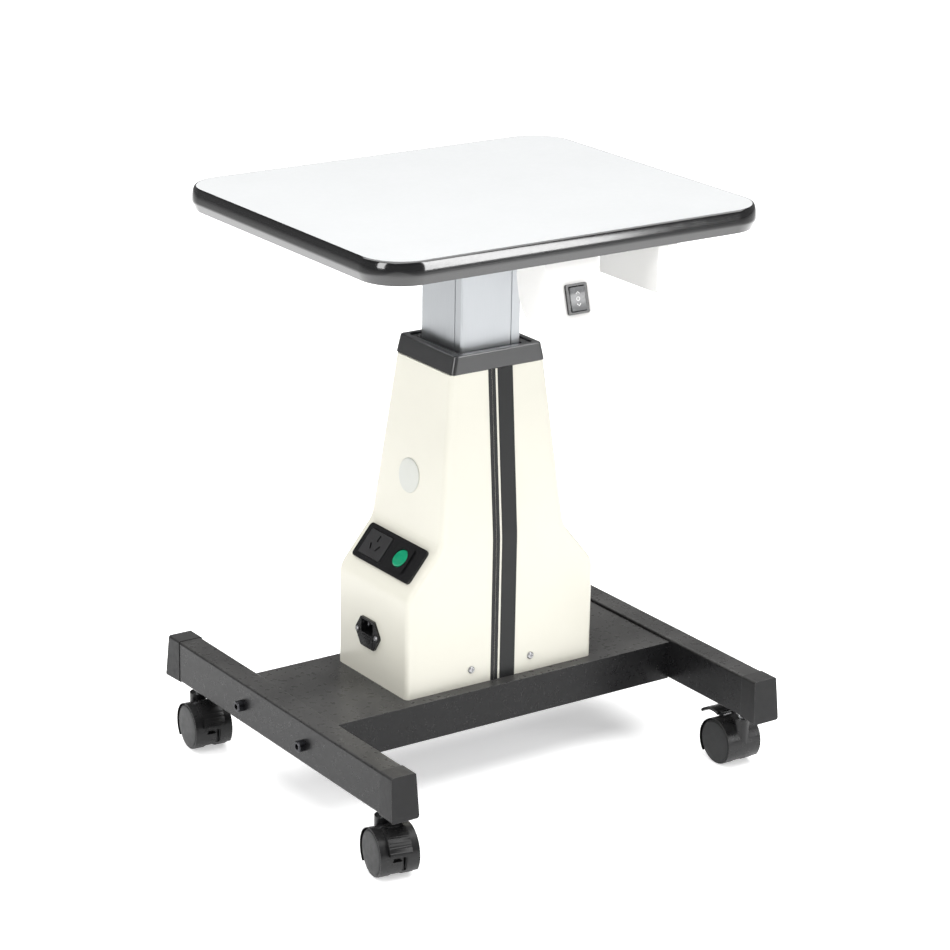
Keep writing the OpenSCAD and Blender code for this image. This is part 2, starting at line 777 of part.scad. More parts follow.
// Side cheek of the switch bracket in the YZ plane, with a curved lower back corner
module bracket_cheek() {
    low_y = bracket_y - bracket_h * sin(bracket_tilt) + 1;
    low_z = table_under - bracket_h * cos(bracket_tilt);
    rotate([90, 0, 90]) linear_extrude(bracket_t) polygon([
        [bracket_y + 1, table_under], [low_y + 68, table_under], [low_y + 67, low_z + 43],
        [low_y + 63, low_z + 25], [low_y + 57, low_z + 11], [low_y + 50, low_z + 3.5],
        [low_y + 41, low_z - 0.5], [low_y + 30, low_z - 2], [low_y + 15, low_z - 1.5], [low_y, low_z],
    ]);
}

module switch_bracket() {
    color("#f4f4f2") {
        for (x = [bracket_x0, bracket_x0 + bracket_w - bracket_t])
            translate([x, 0, 0]) bracket_cheek();
        // Front panel with the cut-out for the switch
        on_panel() difference() {
            translate([-bracket_w / 2, -bracket_h, -bracket_t]) cube([bracket_w, bracket_h - 0.5, bracket_t]);
            translate([0, -lift_switch_down, 0]) cube([24, 30.5, 10], center = true);
        }
        // Flange under the board
        difference() {
            translate([bracket_x0, bracket_y + 1.2, table_under - bracket_t]) cube([bracket_w, 47, bracket_t]);
            for (x = [bracket_x0 + 18, bracket_x0 + bracket_w - 18])
                translate([x, bracket_y + 30, table_under - 5]) cylinder(h = 6, r = 2.2);
        }
    }
}

// White angle bracket to the right of the switch
module side_bracket() {
    color("#f1f1ef") {
        difference() {
            translate([side_x, side_y, table_under - bracket_t]) cube([side_w, side_d, bracket_t]);
            for (y = [27, 77])
                translate([side_x + 13, side_y + y, table_under - 5]) cylinder(h = 6, r = 2.2);
        }
        translate([side_x, side_y, table_under - side_h]) cube([bracket_t, side_d, side_h]);
        // Front return with a notch
        difference() {
            translate([side_x, side_y, table_under - side_h]) cube([14, bracket_t, side_h]);
            translate([side_x - 2, side_y - 2, table_under - 22]) cube([8, 5, 4]);
        }
    }
}

module lift_bezel() {
    color("#111112") on_panel() translate([0, -lift_switch_down, 0]) difference() {
        union() {
            round_block(28, 32.5, 2.5, 2);
            translate([0, 0, -20]) round_block(23, 29.5, 20 + eps, 1);
        }
        translate([-10, -13.5, -12]) cube([20, 27, 20]);
        rotate([0, 90, 0]) cylinder(h = 22, r = pivot_r + run, center = true);
    }
}

// Momentary rocker that sends the table up or down
module lift_rocker() {
    color("#85888b") on_panel() translate([0, -lift_switch_down, 0]) difference() {
        union() {
            translate([-9.6, -12.6, -5]) cube([19.2, 25.2, 10]);
            rotate([0, 90, 0]) cylinder(h = 21.6, r = pivot_r, center = true);
        }
        translate([0, 0, 43]) rotate([0, 90, 0]) cylinder(h = 30, r = 40, center = true, $fn = 96);
    }
}

base_plate();
leg_left();
leg_right();
leg_end_caps();
leg_bolts();
frame_nuts();
caster_stems();
outer_tube();
column_bolts();
upper_glides();
lower_glides();
inner_column();
nut_plate();
screw_nut();
lead_screw();
thrust_bearing();
gearmotor();
transformer();
control_board();
limit_switches();
cover_shell();
cover_collar();
front_stripe();
cover_screws();
hole_plug();
socket_panel();
mains_outlet();
power_bezel();
power_rocker();
inlet_body();
inlet_pins();
fuse_drawer();
table_board();
table_edge();
top_plate();
table_screws();
switch_bracket();
side_bracket();
lift_bezel();
lift_rocker();
for (c = CORNERS) {
    caster_hood(c);
    caster_axle(c);
    caster_wheel(c, -1);
    caster_wheel(c, 1);
    caster_brake(c);
}
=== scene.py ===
"""Looks of the slit lamp table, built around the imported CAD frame. Metres, +Z up."""
import json
import math

import bmesh
import bpy
from mathutils import Matrix, Vector

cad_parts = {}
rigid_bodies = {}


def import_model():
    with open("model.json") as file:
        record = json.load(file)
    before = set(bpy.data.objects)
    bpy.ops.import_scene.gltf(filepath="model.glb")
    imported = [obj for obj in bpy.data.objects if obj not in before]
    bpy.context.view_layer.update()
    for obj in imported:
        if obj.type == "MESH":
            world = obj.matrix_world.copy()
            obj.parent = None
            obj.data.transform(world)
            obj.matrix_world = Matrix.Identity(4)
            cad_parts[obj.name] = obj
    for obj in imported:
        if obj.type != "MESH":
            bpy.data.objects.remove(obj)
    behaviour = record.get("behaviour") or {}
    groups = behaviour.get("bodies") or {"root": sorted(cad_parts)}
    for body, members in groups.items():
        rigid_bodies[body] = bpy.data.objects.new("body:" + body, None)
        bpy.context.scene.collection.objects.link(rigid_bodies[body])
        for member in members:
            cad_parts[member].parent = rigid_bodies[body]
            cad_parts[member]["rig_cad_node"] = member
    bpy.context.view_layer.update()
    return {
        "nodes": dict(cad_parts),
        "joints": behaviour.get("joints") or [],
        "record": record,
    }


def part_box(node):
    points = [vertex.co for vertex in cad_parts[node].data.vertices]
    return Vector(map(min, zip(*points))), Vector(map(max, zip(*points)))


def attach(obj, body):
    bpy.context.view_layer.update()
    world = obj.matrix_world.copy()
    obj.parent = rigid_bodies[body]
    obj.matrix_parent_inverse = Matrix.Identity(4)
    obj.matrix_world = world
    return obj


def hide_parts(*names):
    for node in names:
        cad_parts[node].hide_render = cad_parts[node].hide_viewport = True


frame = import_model()
JOINTS = {joint["name"]: joint for joint in frame["joints"]}
SLOTS = {part["node"]: part["material_slot"] for part in frame["record"]["subparts"]}
BODY = {node: body for body, nodes in frame["record"]["behaviour"]["bodies"].items() for node in nodes}
CORNERS = ("fl", "fr", "rl", "rr")
MM = 0.001


# ---------- materials ----------

def rgb(r, g, b):
    return (r, g, b, 1.0)


def shade(colour, k):
    return tuple(min(1.0, c * k) for c in colour[:3]) + (1.0,)


MATERIALS = {}
# Two painted marks: a pale grey on upward faces, partly a dusting and partly a painted sheen on the tops, and a
# lighter grey on outer edges, partly worn coating and partly a painted edge highlight
DUST_AND_SHEEN, WORN_AND_HIGHLIGHT = rgb(0.55, 0.54, 0.52), rgb(0.16, 0.16, 0.16)
# How far in from an edge the worn coating and the painted edge highlight reach
WEAR_AND_HIGHLIGHT_REACH = 1.2 * MM
# Noise scales, per metre
CLOUDS, PATCHES, SMEARS, DRIFT, GRAIN, SWIRLS = 3.0, 9.0, 14.0, 60.0, 140.0, 180.0
# Parts of a noise's range that remap stretches over a whole effect
SOFT, CLEAR, CRISP = (0.3, 0.7), (0.35, 0.65), (0.4, 0.6)


class Nodes:
    """A new material's node tree, with short calls to add and join nodes."""

    def __init__(self, name):
        material = MATERIALS[name] = bpy.data.materials.new(name)
        material.use_nodes = True
        self.tree = material.node_tree
        self.tree.nodes.clear()
        output = self.tree.nodes.new("ShaderNodeOutputMaterial")
        self.shader = self.tree.nodes.new("ShaderNodeBsdfPrincipled")
        self.link(self.shader.outputs["BSDF"], output.inputs["Surface"])
        self.place = self.tree.nodes.new("ShaderNodeTexCoord").outputs["Object"]

    def link(self, source, target):
        self.tree.links.new(source, target)

    def put(self, value, target):
        """A plain value or another node's output goes into an input."""
        if isinstance(value, bpy.types.NodeSocket):
            self.link(value, target)
        else:
            target.default_value = value

    def surface(self, **values):
        """Sets inputs of the surface shader; an underscore in a name stands for a space."""
        for name, value in values.items():
            self.put(value, self.shader.inputs[name.replace("_", " ")])

    def noise(self, scale, detail=3.0, stretch=(1, 1, 1), rough=0.55):
        mapping = self.tree.nodes.new("ShaderNodeMapping")
        mapping.inputs["Scale"].default_value = stretch
        self.link(self.place, mapping.inputs["Vector"])
        noise = self.tree.nodes.new("ShaderNodeTexNoise")
        noise.inputs["Scale"].default_value = scale
        noise.inputs["Detail"].default_value = detail
        noise.inputs["Roughness"].default_value = rough
        self.link(mapping.outputs["Vector"], noise.inputs["Vector"])
        return noise.outputs["Fac"]

    def remap(self, value, span, to_low, to_high):
        """The value's span, as (low, high), becomes to_low to to_high, and is held there outside it."""
        node = self.tree.nodes.new("ShaderNodeMapRange")
        for name, number in zip(("From Min", "From Max", "To Min", "To Max"), (*span, to_low, to_high)):
            node.inputs[name].default_value = number
        self.link(value, node.inputs["Value"])
        return node.outputs["Result"]

    def mix(self, fac, a, b):
        """Blends two colours; sockets 6 and 7 are a colour mix node's A and B, and 2 is its result."""
        node = self.tree.nodes.new("ShaderNodeMix")
        node.data_type = "RGBA"
        self.put(fac, node.inputs["Factor"])
        self.put(a, node.inputs[6])
        self.put(b, node.inputs[7])
        return node.outputs[2]

    def math(self, kind, a, b=0.0):
        node = self.tree.nodes.new("ShaderNodeMath")
        node.operation = kind
        self.put(a, node.inputs[0])
        self.put(b, node.inputs[1])
        return node.outputs[0]

    def bump(self, height, strength, distance, normal=None):
        node = self.tree.nodes.new("ShaderNodeBump")
        node.inputs["Strength"].default_value = strength
        node.inputs["Distance"].default_value = distance
        self.link(height, node.inputs["Height"])
        if normal is not None:
            self.link(normal, node.inputs["Normal"])
        return node.outputs["Normal"]

    def upward(self):
        """1 where the surface faces up, 0 where it is upright or faces down."""
        geometry = self.tree.nodes.new("ShaderNodeNewGeometry")
        split = self.tree.nodes.new("ShaderNodeSeparateXYZ")
        self.link(geometry.outputs["Normal"], split.inputs[0])
        return self.remap(split.outputs["Z"], (0.3, 0.95), 0.0, 1.0)

    def edges(self, radius):
        """1 on edges that stick out, where a coating wears and where a painted edge highlight goes."""
        bevel = self.tree.nodes.new("ShaderNodeBevel")
        bevel.samples = 4
        bevel.inputs["Radius"].default_value = radius
        geometry = self.tree.nodes.new("ShaderNodeNewGeometry")
        return self.remap(self.dot(bevel.outputs["Normal"], geometry.outputs["Normal"]), (0.98, 0.75), 0.0, 1.0)

    def dot(self, a, b):
        node = self.tree.nodes.new("ShaderNodeVectorMath")
        node.operation = "DOT_PRODUCT"
        self.put(a, node.inputs[0])
        self.put(b, node.inputs[1])
        return node.outputs["Value"]


def coated(name, colour, rough, peel=0.0, peel_scale=900, vary=0.06, coat=0.0,
           dust_and_sheen=0.0, wear_and_highlight=0.0, spec=0.5, mottle=0.05):
    """Paint, powder coat, plastic or rubber: varied colour and gloss, fine relief, a dusting with a painted sheen on
    tops, and worn edges with a painted highlight.
    """
    n = Nodes(name)
    broad = n.noise(PATCHES, detail=4.0)
    fine = n.noise(GRAIN)
    base = n.mix(n.remap(broad, CLEAR, 0.0, 1.0), shade(colour, 1 - vary), shade(colour, 1 + vary))
    if wear_and_highlight > 0:
        # Outer edges turn lighter grey: partly worn coating, partly a painted edge highlight
        wear_and_highlight_mask = n.math("MULTIPLY", n.edges(WEAR_AND_HIGHLIGHT_REACH), n.remap(fine, CRISP, 0.35 * wear_and_highlight, wear_and_highlight))
        base = n.mix(wear_and_highlight_mask, base, WORN_AND_HIGHLIGHT)
    if dust_and_sheen > 0:
        # Upward faces turn pale grey: partly a dusting, partly a painted sheen on the tops
        dust_and_sheen_mask = n.math("MULTIPLY", n.upward(), n.remap(broad, SOFT, 0.4 * dust_and_sheen, dust_and_sheen))
        base = n.mix(dust_and_sheen_mask, base, DUST_AND_SHEEN)
    n.surface(Base_Color=base, Roughness=n.remap(fine, SOFT, rough - mottle, rough + mottle),
              Specular_IOR_Level=spec, Coat_Weight=coat, Coat_Roughness=0.08)
    if peel > 0:
        relief = n.bump(n.noise(peel_scale, detail=2.0), peel, 0.2 * MM)
        n.surface(Normal=n.bump(n.noise(DRIFT, detail=2.0), peel * 0.25, 0.4 * MM, relief))


def metal(name, colour, rough, grain=(1, 1, 1), grain_scale=600, depth=0.12, vary=0.05, spots=0.0):
    """Bare metal: fine grain along one direction, handling marks and uneven polish."""
    n = Nodes(name)
    lines = n.noise(grain_scale, detail=4.0, stretch=grain, rough=0.7)
    broad = n.noise(SMEARS, detail=4.0)
    uneven = n.math("ADD", n.remap(broad, CLEAR, -spots, spots), n.remap(lines, SOFT, rough * 0.8, rough * 1.25))
    n.surface(Base_Color=n.mix(broad, shade(colour, 1 - vary), shade(colour, 1 + vary)), Metallic=1.0,
              Roughness=uneven, Normal=n.bump(lines, depth, 0.1 * MM))


def translucent(name, colour, rough):
    """Tinted gloss plastic with some light passing through and a faint glow of its own."""
    n = Nodes(name)
    swirl = n.noise(SWIRLS)
    n.surface(Base_Color=n.mix(swirl, shade(colour, 0.85), shade(colour, 1.15)),
              Roughness=n.remap(swirl, SOFT, rough * 0.8, rough * 1.3), Transmission_Weight=0.35,
              Emission_Color=n.mix(swirl, shade(colour, 0.7), shade(colour, 1.0)), Emission_Strength=0.25)


# The dusting and worn-edge amounts below also set how strong the painted sheen on tops and the painted edge highlights
# are
coated("black_coat", rgb(0.007, 0.007, 0.0075), 0.30, peel=0.1, peel_scale=1400, vary=0.12, dust_and_sheen=0.11, wear_and_highlight=0.5,
       spec=0.25)
coated("cap_plastic", rgb(0.008, 0.008, 0.0085), 0.46, peel=0.2, peel_scale=2200, vary=0.1, dust_and_sheen=0.06, wear_and_highlight=0.5,
       spec=0.28)
metal("black_bolt", rgb(0.05, 0.05, 0.055), 0.38, depth=0.2)
metal("zinc_steel", rgb(0.60, 0.61, 0.62), 0.32, grain_scale=300, spots=0.06)
coated("guide_steel", rgb(0.16, 0.17, 0.18), 0.5, peel=0.2)
coated("glide_plastic", rgb(0.78, 0.77, 0.71), 0.45, peel=0.2)
metal("column_aluminium", rgb(0.425, 0.44, 0.455), 0.40, grain=(1, 1, 0.02), grain_scale=1500, depth=0.1,
      vary=0.03, spots=0.04)
metal("nut_bronze", rgb(0.60, 0.40, 0.18), 0.35)
metal("screw_steel", rgb(0.52, 0.53, 0.55), 0.25)
coated("motor_casing", rgb(0.09, 0.10, 0.11), 0.45, peel=0.3)
coated("transformer_core", rgb(0.13, 0.12, 0.11), 0.5, peel=0.3, peel_scale=400)
coated("board_green", rgb(0.03, 0.17, 0.07), 0.35, peel=0.15)
coated("switch_black", rgb(0.02, 0.02, 0.022), 0.5, peel=0.2)
coated("cover_paint", rgb(0.70, 0.685, 0.60), 0.36, peel=0.16, peel_scale=500, vary=0.012, coat=0.15, mottle=0.03)
coated("collar_plastic", rgb(0.013, 0.0135, 0.0145), 0.3, vary=0.08, mottle=0.01, coat=0.6, spec=0.8)
coated("stripe_black", rgb(0.010, 0.0105, 0.011), 0.34, peel=0.03, vary=0.08, spec=0.3)
metal("bright_screw", rgb(0.42, 0.42, 0.43), 0.30)
coated("plug_plastic", rgb(0.60, 0.61, 0.57), 0.45, peel=0.2, vary=0.02)
coated("panel_plastic", rgb(0.008, 0.008, 0.0085), 0.22, vary=0.08, mottle=0.015)
coated("outlet_plastic", rgb(0.022, 0.022, 0.023), 0.4, vary=0.08)
translucent("rocker_green", rgb(0.005, 0.30, 0.15), 0.16)
coated("board_laminate", rgb(0.66, 0.67, 0.675), 0.2, peel=0.05, peel_scale=700, vary=0.01, coat=0.35, mottle=0.02)
coated("edge_band", rgb(0.006, 0.006, 0.0065), 0.13, peel=0.03, vary=0.15, coat=0.6, mottle=0.02, spec=0.7)
coated("bracket_paint", rgb(0.73, 0.725, 0.71), 0.4, peel=0.2, vary=0.015)
coated("rocker_grey", rgb(0.11, 0.113, 0.116), 0.25, peel=0.1, vary=0.04, coat=0.3)
coated("hood_plastic", rgb(0.007, 0.007, 0.0075), 0.30, peel=0.12, peel_scale=1600, vary=0.12, dust_and_sheen=0.02, spec=0.35)
coated("wheel_grey", rgb(0.0065, 0.007, 0.0075), 0.42, peel=0.2, peel_scale=1200, vary=0.08, dust_and_sheen=0.03, spec=0.27)
coated("mark_white", rgb(0.80, 0.80, 0.79), 0.4, peel=0.05, vary=0.02)


def paint(obj, slot):
    obj.data.materials.clear()
    obj.data.materials.append(MATERIALS[slot])


# ---------- mesh tools ----------

def smooth(mesh, sharp_from=35):
    """Smooth faces, with sharp edges where the mesh turns by more than the angle in degrees."""
    mesh.shade_smooth()
    mesh.set_sharp_from_angle(angle=math.radians(sharp_from))


def new_object(name, bm, sharp_from=35):
    """Turns a bmesh into a smooth object, and frees the bmesh."""
    bmesh.ops.recalc_face_normals(bm, faces=bm.faces)
    mesh = bpy.data.meshes.new(name)
    bm.to_mesh(mesh)
    bm.free()
    smooth(mesh, sharp_from)
    obj = bpy.data.objects.new(name, mesh)
    bpy.context.scene.collection.objects.link(obj)
    return obj


def apply_modifiers(obj):
    graph = bpy.context.evaluated_depsgraph_get()
    mesh = bpy.data.meshes.new_from_object(obj.evaluated_get(graph))
    obj.modifiers.clear()
    obj.data = mesh


def bevel(obj, width, segments, angle):
    """Rounds the edges that turn by more than the angle in degrees."""
    modifier = obj.modifiers.new("bevel", "BEVEL")
    modifier.width = width
    modifier.segments = segments
    modifier.limit_method = "ANGLE"
    modifier.angle_limit = math.radians(angle)
    modifier.use_clamp_overlap = True
    apply_modifiers(obj)
    smooth(obj.data)


def finish_piece(obj, node):
    """The piece stands for a CAD node: it rides on that node's body and takes its finish.

    Its normals are weighted by face area, so that flat faces shade flat beside their rounded edges.
    """
    modifier = obj.modifiers.new("normals", "WEIGHTED_NORMAL")
    modifier.keep_sharp = True
    apply_modifiers(obj)
    paint(obj, SLOTS[node])
    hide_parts(node)
    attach(obj, BODY[node])


def refined(node, width, segments=2, angle=32):
    """A copy of a CAD node with clean faces and rounded edges, which stands for it."""
    same_point, flat = 0.01 * MM, math.radians(0.6)
    bm = bmesh.new()
    bm.from_mesh(frame["nodes"][node].data)
    bmesh.ops.remove_doubles(bm, verts=bm.verts, dist=same_point)
    bmesh.ops.dissolve_limit(bm, angle_limit=flat, verts=bm.verts, edges=bm.edges)
    obj = new_object(node + "_look", bm)
    bevel(obj, width, segments, angle)
    finish_piece(obj, node)


def ring(width, depth, radius, steps):
    """Points round a rectangle with round corners, centred on the origin."""
    points = []
    for cx, cy, start in ((1, 1, 0), (-1, 1, 90), (-1, -1, 180), (1, -1, 270)):
        for i in range(steps + 1):
            a = math.radians(start + 90 * i / steps)
            points.append((cx * (width / 2 - radius) + radius * math.cos(a),
                           cy * (depth / 2 - radius) + radius * math.sin(a)))
    return points


def loft(bm, rings, closed=False, caps=True):
    """Joins rings of 3-D points, all of one length, with four-sided faces."""
    rows = [[bm.verts.new(p) for p in r] for r in rings]
    count = len(rows[0])
    pairs = list(zip(rows, rows[1:]))
    if closed:
        pairs.append((rows[-1], rows[0]))
    for low, high in pairs:
        for i in range(count):
            j = (i + 1) % count
            bm.faces.new((low[i], low[j], high[j], high[i]))
    if caps and not closed:
        bm.faces.new(rows[0][::-1])
        bm.faces.new(rows[-1])


# Turned pieces keep a pinhole on their axis, so that their faces stay four-sided
CENTRE_HOLE = 0.2 * MM


def revolve(bm, profile, place, steps):
    """Turns a closed outline of (radius, height) points round the place's own z axis."""
    rings = []
    for i in range(steps):
        a = 2 * math.pi * i / steps
        rings.append([place @ Vector((r * math.cos(a), r * math.sin(a), z)) for r, z in profile])
    loft(bm, rings, closed=True, caps=False)


def axes(origin, x, z):
    """A matrix with the given origin, x axis and z axis."""
    x, z = Vector(x).normalized(), Vector(z).normalized()
    y = z.cross(x)
    m = Matrix((x, y, z)).transposed().to_4x4()
    m.translation = Vector(origin)
    return m


def block(bm, place, size, centre=(0, 0, 0)):
    """A box of the given size in the place's own frame."""
    result = bmesh.ops.create_cube(bm, size=1.0)
    m = place @ Matrix.Translation(centre) @ Matrix.Diagonal((*size, 1))
    bmesh.ops.transform(bm, matrix=m, verts=result["verts"])


def cut(obj, cutter):
    """Takes the cutter away from the object and removes the cutter."""
    modifier = obj.modifiers.new("cut", "BOOLEAN")
    modifier.operation = "DIFFERENCE"
    modifier.solver = "EXACT"
    modifier.object = cutter
    apply_modifiers(obj)
    bpy.data.objects.remove(cutter)
    smooth(obj.data)


def tube(name, node, rings, sharp_from=35):
    """A closed band through the rings, which stands for the node."""
    bm = bmesh.new()
    loft(bm, rings, closed=True, caps=False)
    finish_piece(new_object(name, bm, sharp_from), node)


def rounded_path(points, radius, steps=6):
    """A run of (a, b) points with each inner corner turned into a short smooth curve."""
    path = [points[0]]
    for before, corner, after in zip(points, points[1:], points[2:]):
        c = Vector(corner)
        start = c + (Vector(before) - c).normalized() * radius
        end = c + (Vector(after) - c).normalized() * radius
        for i in range(steps + 1):
            t = i / steps
            path.append(tuple((1 - t) ** 2 * start + 2 * t * (1 - t) * c + t * t * end))
    path.append(points[-1])
    return path


# ---------- table ----------

board_low, board_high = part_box("table_board")
band_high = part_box("table_edge")[1]
BOARD_W, BOARD_D, BOARD_T = board_high - board_low
TABLE_R = 45 * MM
TABLE_STEPS = 32
CENTRE_Y = (board_low.y + board_high.y) / 2


def level(width, depth, radius, z, steps, middle=(0.0, CENTRE_Y)):
    """A round-cornered rectangle at one height, round the column's axis unless its middle is given."""
    return [(x + middle[0], y + middle[1], z) for x, y in ring(width, depth, radius, steps)]


def table_level(out, z):
    """The board's outline, moved outwards, at a height above its underside."""
    return level(BOARD_W + 2 * out, BOARD_D + 2 * out, TABLE_R + out, board_low.z + z, TABLE_STEPS)


def table_board():
    """Laminated board with a fine soft lip round its top."""
    lip = 0.5 * MM
    bm = bmesh.new()
    loft(bm, [table_level(out, z) for out, z in ((0, 0), (0, BOARD_T - lip), (-0.3 * lip, BOARD_T - 0.3 * lip),
                                                 (-lip, BOARD_T))])
    finish_piece(new_object("table_board_look", bm), "table_board")


def table_band():
    """Rounded rim: a tall upper curve down to a crease, then a flat bevel inwards."""
    out = band_high.x - board_high.x
    widest, crease, crease_out, under = 0.38 * BOARD_T, 0.35 * BOARD_T, 0.96 * out, 0.9 * MM
    fullness, steps = 0.85, 16
    profile = [(0.0, 0.0), (under, 0.0)]
    profile += [(under + (crease_out - under) * k, crease * k) for k in (0.04, 0.5, 0.97)]
    for i in range(steps):
        a = math.radians(90 * i / steps)
        profile.append((out * math.cos(a) ** fullness, widest + (BOARD_T - widest) * math.sin(a)))
    profile.append((0.0, BOARD_T))
    tube("table_edge_look", "table_edge", [table_level(o, z) for o, z in profile], 50)


# ---------- column, collar and cover ----------

def column():
    """Aluminium extrusion: round corners and one fine groove down each face, with softened lips."""
    low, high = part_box("inner_column")
    half = (high.x - low.x) / 2
    wall, corner, corner_steps = 3.5 * MM, 2.2 * MM, 8
    groove_at, groove_w, groove_d, groove_taper, lip = 13 * MM, 1.4 * MM, 0.9 * MM, 0.1 * MM, 0.3 * MM
    left, right = half - groove_at - groove_w / 2, half - groove_at + groove_w / 2
    face = [(left - lip, -half), (left, -half + lip / 2), (left + groove_taper, -half + groove_d),
            (right - groove_taper, -half + groove_d), (right, -half + lip / 2), (right + lip, -half)]
    for i in range(corner_steps + 1):
        a = math.radians(-90 + 90 * i / corner_steps)
        face.append((half - corner + corner * math.cos(a), -half + corner + corner * math.sin(a)))
    outline = []
    for turn in (0, 90, 180, 270):
        c, s = math.cos(math.radians(turn)), math.sin(math.radians(turn))
        outline += [(x * c - y * s, x * s + y * c) for x, y in face]
    shrink = (half - wall) / half
    tube("inner_column_look", "inner_column",
         [[(x * k, y * k + CENTRE_Y, z) for x, y in outline]
          for k, z in ((1, low.z), (1, high.z), (shrink, high.z), (shrink, low.z))])


def collar():
    """Tapered black frame with a soft outer edge, a shallow tray on top and a lipped opening."""
    low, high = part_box("cover_collar")
    middle = (low + high) / 2
    w0, d0, h = high - low
    w1, d1 = w0 - 9 * MM, d0 - 3 * MM
    soft = 1.3 * MM
    tray_w, tray_d, tray_z = 102 * MM, 99 * MM, h - 2.2 * MM
    hole, lip_out, lip_z = 84 * MM, 4 * MM, tray_z + 0.6 * MM
    most, steps = 0.92, 6
    # (width, depth, corner radius in mm, height), up the outside, over the top edge and down into the tray
    outside = [(w0 - soft, d0 - soft, 5, 0), (w0, d0, 5, soft * 0.6),
               (w0 + (w1 - w0) * most, d0 + (d1 - d0) * most, 5, h - soft),
               (w1 - soft * 0.6, d1 - soft * 0.6, 5, h - soft * 0.3), (w1 - 2.4 * soft, d1 - 2.4 * soft, 4.5, h),
               (tray_w + soft, tray_d + soft, 4, h), (tray_w, tray_d, 4, h - soft * 0.5),
               (tray_w - 0.4 * MM, tray_d - 0.4 * MM, 4, tray_z)]
    # (width, height), over the lip round the square opening and down through it
    inside = [(hole + lip_out + 1 * MM, tray_z), (hole + lip_out, lip_z), (hole + soft, lip_z),
              (hole, tray_z - 0.2 * MM), (hole, 0)]
    rings = [level(w, d, r * MM, low.z + z, steps, middle) for w, d, r, z in outside]
    rings += [level(w, w, 3 * MM, low.z + z, steps) for w, z in inside]
    tube("cover_collar_look", "cover_collar", rings)


cover_low, cover_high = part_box("cover_shell")
BOX_W, BOX_D = cover_high.x - cover_low.x, cover_high.y - cover_low.y
# Sizes and heights of the cover's bends, as in the CAD
BEND, COVER_R, WALL = 9 * MM, 6 * MM, 3 * MM
BOX_Z, SHOULDER_Z = 235 * MM, 287 * MM
SHOULDER_W, TOP_W, TOP_D = 171 * MM, 127 * MM, 112 * MM
PANEL_HOLE, INLET_HOLE = (36 * MM, 108 * MM, 24 * MM), (20 * MM, 27.6 * MM, 33.6 * MM)
PANEL_SHIFT, PLUG_UP = 5 * MM, 66 * MM


def left_face(low, high, rise):
    """Frame on a left face between two (width, height) levels: x up the face, y back, z outwards."""
    run, climb = (low[0] - high[0]) / 2, high[1] - low[1]
    return axes((-low[0] / 2 + run * rise / climb, CENTRE_Y, low[1] + rise), (run, 0, climb), (-climb, 0, run))


SLOPE = left_face((BOX_W, BOX_Z), (SHOULDER_W, SHOULDER_Z), (SHOULDER_Z - BOX_Z) / 2)
PLUG_FACE = left_face((SHOULDER_W, SHOULDER_Z), (TOP_W, cover_high.z), PLUG_UP)


def cover_steps():
    """Half-width and half-depth of the cover against height, with its bends softened."""
    width = rounded_path([(BOX_W / 2, cover_low.z), (BOX_W / 2, BOX_Z), (SHOULDER_W / 2, SHOULDER_Z),
                          (TOP_W / 2, cover_high.z)], BEND)
    depth = rounded_path([(BOX_D / 2, cover_low.z), (BOX_D / 2, SHOULDER_Z), (TOP_D / 2, cover_high.z)], BEND)

    def at(path, z):
        for (a, z0), (b, z1) in zip(path, path[1:]):
            if z0 <= z <= z1:
                return a + (b - a) * (z - z0) / max(z1 - z0, 1e-9)
        return path[-1][0]

    between_bends = {0.16, 0.2, 0.33, 0.38, 0.43}
    heights = sorted({z for _, z in width + depth} | between_bends)
    return [(at(width, z), at(depth, z), z) for z in heights]


def cover():
    """One smooth shell with openings for the socket panel and the inlet; the plug's stem needs none here."""
    steps, corner_steps = cover_steps(), 12
    rings = [level(2 * w, 2 * d, COVER_R, z, corner_steps) for w, d, z in steps]
    rings += [level(2 * (w - WALL), 2 * (d - WALL), COVER_R - WALL, z, corner_steps) for w, d, z in reversed(steps)]
    bm = bmesh.new()
    loft(bm, rings, closed=True, caps=False)
    shell = new_object("cover_shell_look", bm, 40)
    inlet_low, inlet_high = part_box("inlet_body")
    inlet = (inlet_low + inlet_high) / 2
    cutters = bmesh.new()
    block(cutters, SLOPE, PANEL_HOLE, (PANEL_SHIFT, 0, 0))
    block(cutters, Matrix.Translation((cover_low.x, inlet.y, inlet.z)), INLET_HOLE)
    cut(shell, new_object("cutter", cutters))
    finish_piece(shell, "cover_shell")


def stripes():
    """Black film strips that follow the front of the cover over its bend; the two narrow ones read as one
    strip with a scored line."""
    proud = 0.35 * MM
    path = rounded_path([(CENTRE_Y - BOX_D / 2, cover_low.z), (CENTRE_Y - BOX_D / 2, SHOULDER_Z),
                         (CENTRE_Y - TOP_D / 2, cover_high.z)], BEND)
    bm = bmesh.new()
    for left, width in ((-14 * MM, 4.6 * MM), (-8.9 * MM, 4.4 * MM), (-1.5 * MM, 20.5 * MM)):
        right = left + width
        loft(bm, [[(left, y - proud, z), (right, y - proud, z), (right, y + proud, z), (left, y + proud, z)]
                  for y, z in path])
    finish_piece(new_object("front_stripe_look", bm, 25), "front_stripe")


